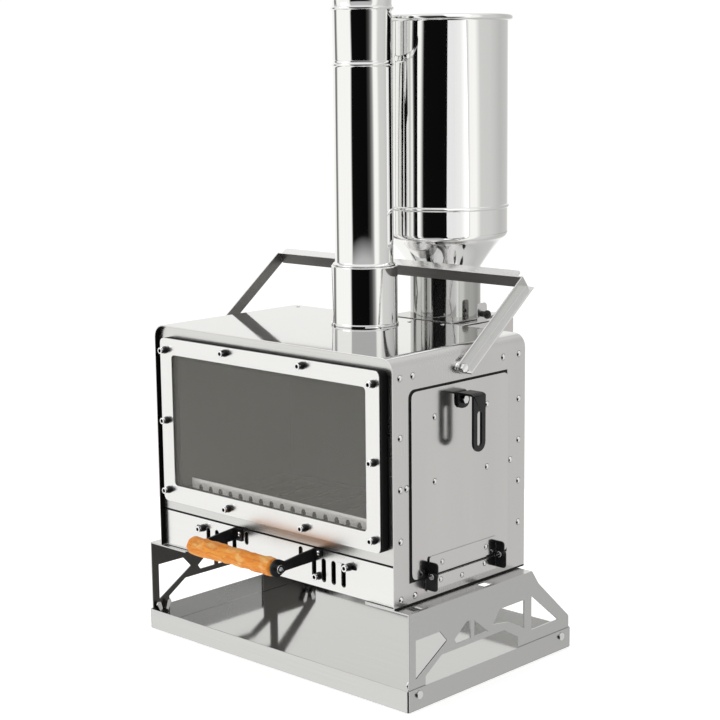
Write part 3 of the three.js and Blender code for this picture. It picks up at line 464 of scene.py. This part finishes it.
def hopper_neck():
    """The straight neck on its square flange, whose corners are rounded."""
    flange, corner, hole_steps = 2, 5, 96
    _, half, foot, top = upright("hopper_neck")
    inner = NECK_RADIUS - HOPPER_SHEET
    bm = bmesh.new()
    turned(bm, [(inner, foot), (NECK_RADIUS, foot), (NECK_RADIUS, top), (inner, top), (inner, foot)],
           HOPPER_AXIS, HOPPER_STEPS)
    outline = []
    for i, (side_x, side_y) in enumerate(((1, 1), (-1, 1), (-1, -1), (1, -1))):
        outline += arc((half - corner) * side_x, (half - corner) * side_y, corner, 90 * i, 90 * i + 90, 5)
    hole = arc(0, 0, NECK_RADIUS - 0.4, 0, 360, hole_steps)[:-1]
    over = foot + flange
    rings = [[bm.verts.new(HOPPER_AXIS + Vector((x * MM, y * MM, z * MM))) for x, y in points]
             for points, z in ((hole, foot), (outline, foot), (outline, over), (hole, over))]
    for ring in rings:
        for a, b in zip(ring, ring[1:] + ring[:1]):
            bm.edges.new((a, b))
    for a, b in (rings[:2], rings[2:]):
        both = set(a + b)
        bmesh.ops.bridge_loops(bm, edges=[e for e in bm.edges if all(v in both for v in e.verts)])
    band(bm, rings[1], rings[2])
    band(bm, rings[3], rings[0])
    bmesh.ops.recalc_face_normals(bm, faces=bm.faces)
    stand_in("hopper_neck", bm, [NECK_SHADED], edge=0.3)


# ------------------------------------------------------------------ fasteners

LEAF_SHEET = 1.8  # thickness of the hinge leaves
WASHER_GAP = 0.3  # between a screw's washer and the sheet behind it
WASHER = 4.9  # its radius

# (y, z) of the rivets on each side wall: along the front edge, then along the back edge.
WALL_RIVETS = ((12.5, 402.3), (35.3, 402.3), (12.5, 330.6), (12.5, 267.5), (23.4, 267.5), (12.5, 204.3),
               (12.5, 132.5), (37.6, 132.5),
               (237, 402.3), (205.5, 402.3), (237, 344.7), (237, 291.5), (237, 238.1), (237, 183.1),
               (220.2, 268.2))
DOOR_RIVETS = ((72, 347.5), (171, 348), (72, 268), (171, 268.5))
DOOR_LEAF_RIVETS = ((83, 165.5), (167, 166))
WALL_LEAF_RIVETS = ((83, 142.5), (123, 139), (167, 144))
TOP_BOLTS = ((-182, 236.9), (35.5, 230.4), (85.4, 240))  # (x, y)
# (radius, height) of their heads
WALL_HEAD, DOOR_HEAD, LEAF_HEAD = (3.8, 2.5), (3.5, 2.3), (3.1, 1.5)
TOP_HEAD, BRACKET_HEAD = (2.6, 1.3), (3.1, 1.8)


def dome(bm, point, normal, radius, height):
    """A rivet's domed head on a surface, with a black ring of painted shade round its edge."""
    around, rows = 20, 5
    turn = Vector((0, 0, 1)).rotation_difference(Vector(normal)).to_matrix()
    # Radius of that black ring: painted shade at the rivet's foot.
    line = radius + 0.45
    angles = [math.radians(90 * k / rows) for k in range(1, rows + 1)]
    quarter = [(radius * math.cos(a), height * math.sin(a)) for a in angles]
    rings = []
    for r, h in [(line, -0.2), (line, 0.12), (radius, 0.14), *quarter]:
        ring = []
        for i in range(1 if r < 1e-4 else around):
            a = 2 * math.pi * i / around
            ring.append(bm.verts.new(point + turn @ Vector((r * math.cos(a), r * math.sin(a), h)) * MM))
        rings.append(ring)
    for k, (low, high) in enumerate(zip(rings, rings[1:])):
        band(bm, low, high, 1 if k < 2 else 0)
    bm.faces.new(list(reversed(rings[0]))).material_index = 0


def rivet_heads(name, body, normal, heads):
    """One piece of rivets: each head is (x, y, z, radius, height) in mm."""
    bm = bmesh.new()
    for x, y, z, radius, height in heads:
        dome(bm, at(x, y, z), normal, radius, height)
    # The black is the painted shade ring round each head.
    finish_mesh(name, bm, [ZINC, BLACK], body)


def rivets():
    for side, tag in ((1, "right"), (-1, "left")):
        heads = [(side * WALL, y, z, *WALL_HEAD) for y, z in WALL_RIVETS]
        rivet_heads("wall_rivets_" + tag, "stove", (side, 0, 0), heads)
    skin = (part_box("side_door")[1].x - CENTRE_X) / MM
    leaf = (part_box("door_hinge_leaf")[0].x - CENTRE_X) / MM + LEAF_SHEET
    heads = [(skin, y, z, *DOOR_HEAD) for y, z in DOOR_RIVETS]
    heads += [(leaf, y, z, *LEAF_HEAD) for y, z in DOOR_LEAF_RIVETS]
    rivet_heads("door_rivets", "door", (1, 0, 0), heads)
    wall_leaf = WALL + SEAT_GAP + LEAF_SHEET
    heads = [(wall_leaf, y, z, *LEAF_HEAD) for y, z in WALL_LEAF_RIVETS]
    rivet_heads("hinge_rivets", "stove", (1, 0, 0), heads)
    rivet_heads("top_bolts", "stove", (0, 0, 1), [(x, y, BODY_TOP, *TOP_HEAD) for x, y in TOP_BOLTS])
    low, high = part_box("drawer_bracket_left")
    foot_x, foot_y = (low.x - CENTRE_X) / MM, (high.y - FRONT_Y) / MM - 2
    heads = [(foot_x + 11, foot_y, 164.5, *BRACKET_HEAD), (10 - foot_x, foot_y, 167.3, *BRACKET_HEAD)]
    rivet_heads("bracket_rivets", "ash_drawer", (0, -1, 0), heads)


def screw_head(centre, face, length, radius):
    """A black round head along Y on a washer, with a bright end ring round a dark hexagon socket."""
    socket, depth, corner, around = 2.5, 3.0, 0.6, 32
    bm = bmesh.new()
    end = face - length
    axis = Vector((centre.x, 0, centre.z))
    washer = [(0, face), (WASHER, face), (WASHER, face - 1.0), (WASHER - 0.3, face - 1.2)]
    side = (radius, end + depth)
    rim = arc(radius - corner, end + corner, corner, 0, -90, 4)
    hexagon = [(socket, end), (socket - 0.2, end + 0.2), (socket - 0.2, end + depth), (0, end + depth)]
    turned(bm, [*washer, (radius, face - 1.2), side], axis, around, "y", 0)
    turned(bm, [side, *rim, (socket, end)], axis, around, "y", 1)
    turned(bm, hexagon, axis, 6, "y", 2)
    bmesh.ops.remove_doubles(bm, verts=bm.verts, dist=0.001 * MM)
    return bm


def screws():
    """The window's ten screws, the drawer front's two, and the two that are the shutters' knobs."""
    mats = [BLACK, ZINC, SEAL]
    knob_x, knob_z = 134.8, 159
    for i in range(1, 11):
        name = f"window_screw_{i:02d}"
        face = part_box("window_frame")[0].y / MM - WASHER_GAP
        stand_in(name, screw_head(centre_of(name), face, 9, 4.3), mats)
    for side, tag in ((1, "right"), (-1, "left")):
        name = "guide_screw_" + tag
        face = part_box("drawer_front")[0].y / MM - WASHER_GAP
        stand_in(name, screw_head(centre_of(name), face, 8.7, 4.3), mats)
        shutter = "air_shutter_" + tag
        bm = screw_head(at(side * knob_x, 0, knob_z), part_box(shutter)[0].y / MM + 9.4, 9.6, 4.5)
        finish_mesh("shutter_knob_" + tag, bm, mats, BODY_OF[shutter])


# ------------------------------------------------------------------ grip and knob


def grip_cuts(length):
    """The knife facets in rows along the grip, as (x, angle, depth)."""
    rows, per_row = 11, 7
    rng = random.Random(7)
    cuts = []
    for row in range(rows):
        for k in range(per_row):
            cuts.append((length * (row + 0.5 + rng.uniform(-0.25, 0.25)) / rows,
                         2 * math.pi * (k + 0.5 * (row % 2) + rng.uniform(-0.2, 0.2)) / per_row,
                         rng.uniform(0.9, 1.7)))
    return cuts


def grip():
    """Carved grip: a turned bar with rounded ends and shallow knife facets all round."""
    low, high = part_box("drawer_grip")
    middle = centre_of("drawer_grip")
    length = (high.x - low.x) / MM
    radius, round_end, cut_length, cut_width = 12, 7, 9.5, 6.2
    along, around = 90, 60
    cuts = grip_cuts(length)
    bm = bmesh.new()
    rings = []
    for i in range(along + 1):
        s = i / along
        x = length * (0.5 - 0.5 * math.cos(math.pi * s)) * 0.35 + length * s * 0.65  # closer near the ends
        bar = radius + 0.5 * math.sin(2 * math.pi * (1.15 * x / length + 0.05))
        end = min(x, length - x)
        cap = 1.0 if end > round_end else math.sqrt(max(0.0, 1 - ((round_end - end) / round_end) ** 2.2))
        ring = []
        for j in range(around):
            a = 2 * math.pi * j / around
            depth = 0.0
            for cut_x, cut_a, cut_depth in cuts:
                turn = (a - cut_a + math.pi) % (2 * math.pi) - math.pi
                reach = ((x - cut_x) / cut_length) ** 2 + (turn * radius / cut_width) ** 2
                if reach < 1:
                    depth = max(depth, cut_depth * (1 - reach) ** 0.8)
            r = (bar - depth) * max(cap, 0.02) if end > 0 else 0.05
            y, z = r * math.cos(a) * MM, r * math.sin(a) * MM
            ring.append(bm.verts.new((low.x + x * MM, middle.y + y, middle.z + z)))
        rings.append(ring)
    for p, q in zip(rings, rings[1:]):
        band(bm, p, q)
    bm.faces.new(rings[0])
    bm.faces.new(list(reversed(rings[-1])))
    bmesh.ops.recalc_face_normals(bm, faces=bm.faces)
    stand_in("drawer_grip", bm, [WOOD])


def gate_knob():
    """A ball on a collar at the end of a thin rod."""
    rod, collar, ball = 1.9, 4, 4
    low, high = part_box("gate_knob")
    foot = Vector((low.x, (low.y + high.y) / 2, (low.z + high.z) / 2))
    top = (high.x - low.x) / MM
    base = top - 13.3
    bm = bmesh.new()
    turned(bm, [
        (0, 0), (rod, 0), (rod, base), (collar, base), (collar, base + 2.4),
        *arc(rod, base + 8.2, ball, -55, 60, 10),
        (2.4, top - 0.5), (0, top),
    ], foot, 40, "x")
    stand_in("gate_knob", bm, [BLACK])


# ------------------------------------------------------------------ which face has which material

FACING = 0.9  # a face whose normal has at least this much of a direction looks that way
TOWARDS = 0.5  # and with this much it looks roughly that way


def shell_faces(centre, normal):
    """0 outside, 1 on the top plate, 2 inside, where the near-black steel is painted shade."""
    x = centre.x - CENTRE_X
    if centre.z / MM > BODY_TOP - 2 and normal.z > FACING:
        return 1
    inward = x * normal.x < 0 or normal.z < -TOWARDS
    within = abs(x) < (WALL - 1) * MM and centre.z / MM < BODY_TOP - 1
    return 2 if inward and within and abs(normal.y) < TOWARDS else 0


def front_side_faces(centre, normal):
    return 1 if normal.y < -TOWARDS else 0


def under_faces(centre, normal):
    return 1 if normal.z < -TOWARDS else 0


def inside_faces(name):
    """1 on a box's inner walls and floor, which get the painted shade."""
    middle = centre_of(name)

    def choose(centre, normal):
        out = centre - middle
        inner_wall = out.x * normal.x < -1e-6 or out.y * normal.y < -1e-6
        return 1 if inner_wall or normal.z > TOWARDS and centre.z < middle.z else 0

    return choose


def tray_faces(centre, normal):
    """1 on the tray's floor."""
    return 1 if normal.z > FACING and centre.z < 10 * MM else 0


def leg_faces(centre, normal):
    """1 on the web's inner face and under the flange, which are in shade."""
    x = centre.x - CENTRE_X
    inner_web = x * normal.x < 0 and abs(x) > 200 * MM
    return 1 if inner_web or normal.z < -TOWARDS and centre.z > 100 * MM else 0


def bolt_faces(name):
    """1 on the black foot of a wing nut, which lies between 220 and 233 mm from the middle."""
    middle = centre_of(name)

    def choose(centre, normal):
        x = abs(centre.x - CENTRE_X) / MM
        return 1 if 220 < x < 233 and (centre.yz - middle.yz).length < 6.5 * MM else 0

    return choose


def bail_faces(centre, normal):
    """Folded angle in painted light and shade by face: 1, painted shade, on the edges and the crossbar's
    face; 2 and 3, lighter and darker painted shade, on the arms' faces; 0, the lit tone, on the rest.
    """
    low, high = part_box("bail_handle")
    ends = 16 * MM
    along = Vector((0, high.y - low.y - ends, high.z - low.z - ends)).normalized()
    up = Vector((0, -along.z, along.y))
    side = abs(centre.x - CENTRE_X)
    right = centre.x > CENTRE_X
    lip = side > (WALL + 6.3) * MM
    if side < (WALL - 2) * MM:
        return 1 if normal.dot(along) < -0.8 or normal.dot(up) < -0.8 else 0
    if normal.dot(up) > 0.8:
        return 1 if lip and not right else 0
    if normal.dot(up) < -0.8:
        return 1
    if normal.x > 0.8 and not lip:
        return 2 if right else 3
    return 0


def shutter_faces(centre, normal):
    """1, black, on what shows through the vents, painted shade for the dark vent holes, and on what stands
    in front of them.
    """
    return 1 if normal.y < -TOWARDS or centre.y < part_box("drawer_front")[0].y else 0


def hinge_faces(name):
    """1 on the black lugs at a leaf's two ends."""
    low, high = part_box(name)

    def choose(centre, normal):
        return 1 if min(centre.y - low.y, high.y - centre.y) < 2.4 * MM else 0

    return choose


# ------------------------------------------------------------------ the rest of the stove


def strip(name, corner_a, corner_b, body):
    """A thin dark line of painted shade where two sheets meet, as a flat bar between two corners in mm."""
    bm = bmesh.new()
    bmesh.ops.create_cube(bm, size=1)
    a, b = at(*corner_a), at(*corner_b)
    for vert in bm.verts:
        vert.co = Vector((a[k] if vert.co[k] < 0 else b[k]) for k in range(3))
    bmesh.ops.recalc_face_normals(bm, faces=bm.faces)
    finish_mesh(name, bm, [SEAL], body)


def painted_shade_lines():
    """Painted shade in the gaps above the ash drawer and along the foot of each side wall."""
    low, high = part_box("drawer_front")
    y, top = (low.y - FRONT_Y) / MM, high.z / MM
    half = (high.x - low.x) / 2 / MM
    strip("drawer_top_shade_line", (-half, y - 0.08, top - 1.5), (half, y + 1, top), "ash_drawer")
    foot = SHELL_LOW.z / MM
    back = (SHELL_HIGH.y - FRONT_Y) / MM - 0.5
    for side, tag in ((1, "right"), (-1, "left")):
        x = sorted((side * (WALL - 0.5), side * (WALL + 0.1)))
        strip("foot_shade_line_" + tag, (x[0], 0.5, foot), (x[1], back, foot + 2.2), "stove")


def door_gap_shade():
    """A dark band of painted shade in the gap along the side door's front and top edges."""
    low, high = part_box("side_door")
    gap, r, clear = 2.6 * MM, 10 * MM, 0.02 * MM
    y0, y1, z0, z1 = low.y - gap, high.y - 0.5 * MM, low.z - gap, high.z + gap
    outline = [(y0, z0), (y1, z0), (y1, z1), *arc(y0 + r, z1 - r, r, 90, 180, 8)]
    bm = bmesh.new()
    a = [bm.verts.new((SHELL_HIGH.x + clear, y, z)) for y, z in outline]
    b = [bm.verts.new((low.x - clear, y, z)) for y, z in outline]
    bm.faces.new(a)
    bm.faces.new(list(reversed(b)))
    band(bm, a, b)
    bmesh.ops.recalc_face_normals(bm, faces=bm.faces)
    finish_mesh("door_gap_shade_band", bm, [SEAL], "door")


def bend_lever(bm):
    """Rounds the lever's two folds, where the top meets the foot and the handle plate."""
    low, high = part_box("latch_lever")
    near = 0.05 * MM
    for x, radius in ((high.x, 7), (low.x, 4)):
        on_fold = {v for v in bm.verts if abs(v.co.x - x) < near and abs(v.co.z - high.z) < near}
        fold = [e for e in bm.edges if all(v in on_fold for v in e.verts)]
        bmesh.ops.bevel(bm, geom=fold, offset=radius * MM, segments=7, profile=0.5, affect="EDGES")


def dress_all(names, mats, edge, choose=None):
    for name in names:
        dress(name, mats, edge, choose)


def everything_else():
    # The shell's inner faces are near-black: painted shade inside the stove.
    dress("body_shell", [SATIN, TOP_MIRROR, INSIDE_SHADE], 0.4, shell_faces)
    dress("tray", [DULL, TRAY_FLOOR], 0.4, tray_faces)
    dress_all(("leg_right", "leg_left"), [DULL, SHADE], 0.4, leg_faces)
    # The back panel's face towards the front, inside the stove, is near-black: painted shade.
    dress("back_panel", [SATIN, INSIDE_SHADE], 0.4, front_side_faces)
    dress_all(("feed_box", "gate_guide", "gate_plate"), [SATIN], 0.4)
    dress("side_door", [DOOR], 0.5)
    dress("door_liner", [SATIN], 0.5)
    # The bail gets a lit tone and darker copies by the way each face looks: painted light and shade.
    dress("bail_handle", [SATIN_Y, SHADE, ARM_SHADE, DIM_SHADE], 0.4, bail_faces)
    dress_all(("bail_pivot_right", "bail_pivot_left", "latch_shaft", "grip_bolt"), [ZINC], 0.4)
    for side in ("right", "left"):
        for end in ("front", "rear"):
            name = f"leg_bolt_{side}_{end}"
            dress(name, [ZINC, BLACK], 0.4, bolt_faces(name))
    dress_all(("window_frame", "drawer_front"), [BRIGHT], 0.3)
    dress("front_plate", [STRIP], 0.3)
    dress_all(("air_shutter_right", "air_shutter_left"), [SATIN, BLACK], 0.3, shutter_faces)
    for name in ("door_hinge_leaf", "body_hinge_leaf"):
        dress(name, [DOOR, BLACK], 0.3, hinge_faces(name))
    dress_all(("hinge_pin_front", "hinge_pin_rear"), [ZINC], 0.4)
    dress_all(("drawer_bracket_right", "drawer_bracket_left"), [BLACK], 0.4)
    dress("latch_lever", [BLACK], 0.7, segments=3, first=bend_lever)
    dress("window_gasket", [SEAL], 0.3)
    dress("window_glass", [GLASS], 0.4)
    dress("air_rail", [RAIL_GLOW], 0.2)
    # The drawer box is darker outside and near-black inside: painted shade.
    dress("drawer_box", [DIM_SHADE, INSIDE_SHADE], 0.3, inside_faces("drawer_box"))
    # The floor pan's top, inside the stove, is near-black: painted shade.
    dress("floor_pan", [INSIDE_SHADE, BRIGHT], 0.3, under_faces)
    # The grate and the baffle are near-black: painted shade inside the stove.
    dress_all(("fire_grate", "baffle_plate"), [INSIDE_SHADE], 0.3)
    door_gap_shade()
    painted_shade_lines()


# ------------------------------------------------------------------ studio

CAMERA_AT = (1529.9, -1608.05, 767.5)  # mm
YAW, PITCH, ROLL = 43.51, 9.91, -0.61  # degrees: turned left from +Y, tilted down, rolled
FOCAL_PX = 1705.3  # focal length in pixels of the photo
PHOTO_PX = 720
SENSOR = 36  # mm

# Light round the stove by bearing, in degrees to the right of the camera, seen from the stove.
BEARINGS = ((-180, 1.0), (-136, 1.0), (-129, 0.18), (-121, 0.18), (-112, 1.0), (-50, 1.0), (-44, 0.004),
            (14, 0.003), (26, 0.06), (36, 0.32), (44, 1.0), (56, 1.0), (66, 0.66), (90, 0.64), (118, 0.52),
            (150, 0.6), (166, 1.0))
LIGHT_TINT = (1, 0.995, 0.975)
# The two bands are sines of the angle above the floor. Above the first, about 15 degrees, the dark sector is
# grey, so that flat tops seen from behind don't mirror a black room. Above the second, all is pale.
GREY_BAND, GREY_LIGHT = (0.19, 0.27), (0.5, 0.5, 0.5)
PALE_BAND, PALE_LIGHT = (0.55, 0.85), (0.9, 0.9, 0.9)


def camera():
    data = bpy.data.cameras.new("camera")
    data.sensor_width = SENSOR
    data.lens = FOCAL_PX / PHOTO_PX * SENSOR
    data.clip_end = 60  # metres, past the white dome
    cam = bpy.data.objects.new("camera", data)
    bpy.context.scene.collection.objects.link(cam)
    yaw, pitch, roll = map(math.radians, (YAW, PITCH, ROLL))
    forward = Vector((-math.sin(yaw) * math.cos(pitch), math.cos(yaw) * math.cos(pitch), -math.sin(pitch)))
    level = Vector((math.cos(yaw), math.sin(yaw), 0))
    above = level.cross(forward)
    right = level * math.cos(roll) + above * math.sin(roll)
    up = above * math.cos(roll) - level * math.sin(roll)
    turn = Matrix((right, up, -forward)).transposed().to_4x4()
    cam.matrix_world = Matrix.Translation(Vector(CAMERA_AT) * MM) @ turn
    bpy.context.scene.camera = cam


def bearing_ramp(tree):
    """A color ramp over the whole turn, from -180 to 180 degrees."""
    ramp = node(tree, "ShaderNodeValToRGB")
    elements = ramp.color_ramp.elements
    while len(elements) > 1:
        elements.remove(elements[-1])
    for i, (bearing, light) in enumerate(BEARINGS):
        turn = (bearing + 180) / 360
        spot = elements[0] if i == 0 else elements.new(turn)
        spot.position = turn
        spot.color = (*(light * tint for tint in LIGHT_TINT), 1)
    return ramp


def world():
    made = bpy.data.worlds.new("studio")
    bpy.context.scene.world = made
    made.use_nodes = True
    tree = made.node_tree
    place = node(tree, "ShaderNodeTexCoord")
    mapping = node(tree, "ShaderNodeMapping")
    put(mapping, {"Rotation": (0, 0, math.radians(90 - YAW))})
    split = node(tree, "ShaderNodeSeparateXYZ")
    angle = node(tree, "ShaderNodeMath", operation="ARCTAN2")
    ramp = bearing_ramp(tree)
    link(tree, place.outputs["Generated"], mapping.inputs["Vector"])
    link(tree, mapping.outputs["Vector"], split.inputs["Vector"])
    link(tree, split.outputs["Y"], angle.inputs[0])
    link(tree, split.outputs["X"], angle.inputs[1])
    link(tree, spread(tree, angle.outputs[0], 0, 1, -math.pi, math.pi), ramp.inputs["Fac"])
    height, color = split.outputs["Z"], ramp.outputs["Color"]
    color = mix_colors(tree, spread(tree, height, 0, 1, *GREY_BAND), color, GREY_LIGHT, "LIGHTEN")
    color = mix_colors(tree, spread(tree, height, 0, 1, *PALE_BAND), color, PALE_LIGHT)
    link(tree, color, tree.nodes["Background"].inputs["Color"])


def stage_piece(name, bm, mat, camera_only=False):
    """A piece of the studio, just under the stove, that the steel doesn't mirror."""
    mesh = bpy.data.meshes.new(name)
    bm.to_mesh(mesh)
    bm.free()
    made = bpy.data.objects.new(name, mesh)
    made.location.z = -0.6 * MM
    mesh.materials.append(mat)
    bpy.context.scene.collection.objects.link(made)
    made.visible_glossy = False
    if camera_only:
        made.visible_diffuse = made.visible_shadow = made.visible_transmission = False


def floor():
    """A pale round table under the stove, in a white dome that only the camera sees."""
    table_radius, dome_radius, steps = 0.85, 30.0, 128  # radii in metres
    mat, tree, shader = principled("pale_floor", (0.93, 0.93, 0.93), 0.0, 0.7)
    glow(shader, (1, 1, 1), 0.5)
    cloud = noise(tree, (1.5, 1.5, 1.5), 2.0, 0.5, 5)
    color = mix_colors(tree, cloud, (0.92, 0.92, 0.92), (0.94, 0.94, 0.94))
    link(tree, color, shader.inputs["Base Color"])
    table = bmesh.new()
    bmesh.ops.create_circle(table, cap_ends=True, radius=table_radius, segments=steps)
    stage_piece("floor", table, mat)

    white, _, white_shader = principled("white_dome", (0, 0, 0), 0.0, 1.0)
    glow(white_shader, (1, 1, 1), 1.05)
    far = bmesh.new()
    rings = [[far.verts.new((x, y, z)) for x, y in arc(0, 0, radius, 0, 360, steps)[:-1]]
             for radius, z in ((table_radius, 0), (dome_radius, 0), (dome_radius, dome_radius), (0.01, 31))]
    for low, high in zip(rings, rings[1:]):
        band(far, low, high)
    stage_piece("backdrop", far, white, camera_only=True)


def softbox(name, bearing, height, distance, size, light, receivers=None):
    """An area light that points at the stove, in metres. light is its radiance, and it lights only the
    receivers, if there are any."""
    aim = Vector((0, 0, 0.45))
    data = bpy.data.lights.new(name, "AREA")
    data.shape = "RECTANGLE"
    data.size, data.size_y = size
    data.energy = light * math.pi * size[0] * size[1]
    lamp = bpy.data.objects.new(name, data)
    bpy.context.scene.collection.objects.link(lamp)
    a = math.radians(bearing - 90 + YAW)
    place = Vector((distance * math.cos(a), distance * math.sin(a), height))
    lamp.location = place
    lamp.rotation_mode = "QUATERNION"
    lamp.rotation_quaternion = (place - aim).to_track_quat("Z", "Y")
    lamp.visible_camera = False
    if receivers:
        group = bpy.data.collections.new(name + "_receivers")
        for piece in receivers:
            group.objects.link(bpy.data.objects[piece + "_dressed"])
        lamp.light_linking.receiver_collection = group


def studio():
    lit = ("hopper_barrel", "hopper_funnel", "hopper_neck", "body_shell")
    softbox("hopper_light", bearing=22, height=1.2, distance=3.0, size=(2.4, 6.0), light=0.85, receivers=lit)
    softbox("key", bearing=-75, height=1.9, distance=2.2, size=(1.2, 1.0), light=1.6)
    view = bpy.context.scene.view_settings
    view.view_transform = "Standard"
    view.look = "None"
    view.exposure = 0.0
    view.gamma = 1.0


flue_collar()
flue_pipe_lower()
flue_pipe_upper()
hopper_barrel()
hopper_funnel()
hopper_neck()
rivets()
screws()
grip()
gate_knob()
everything_else()
world()
floor()
camera()
studio()
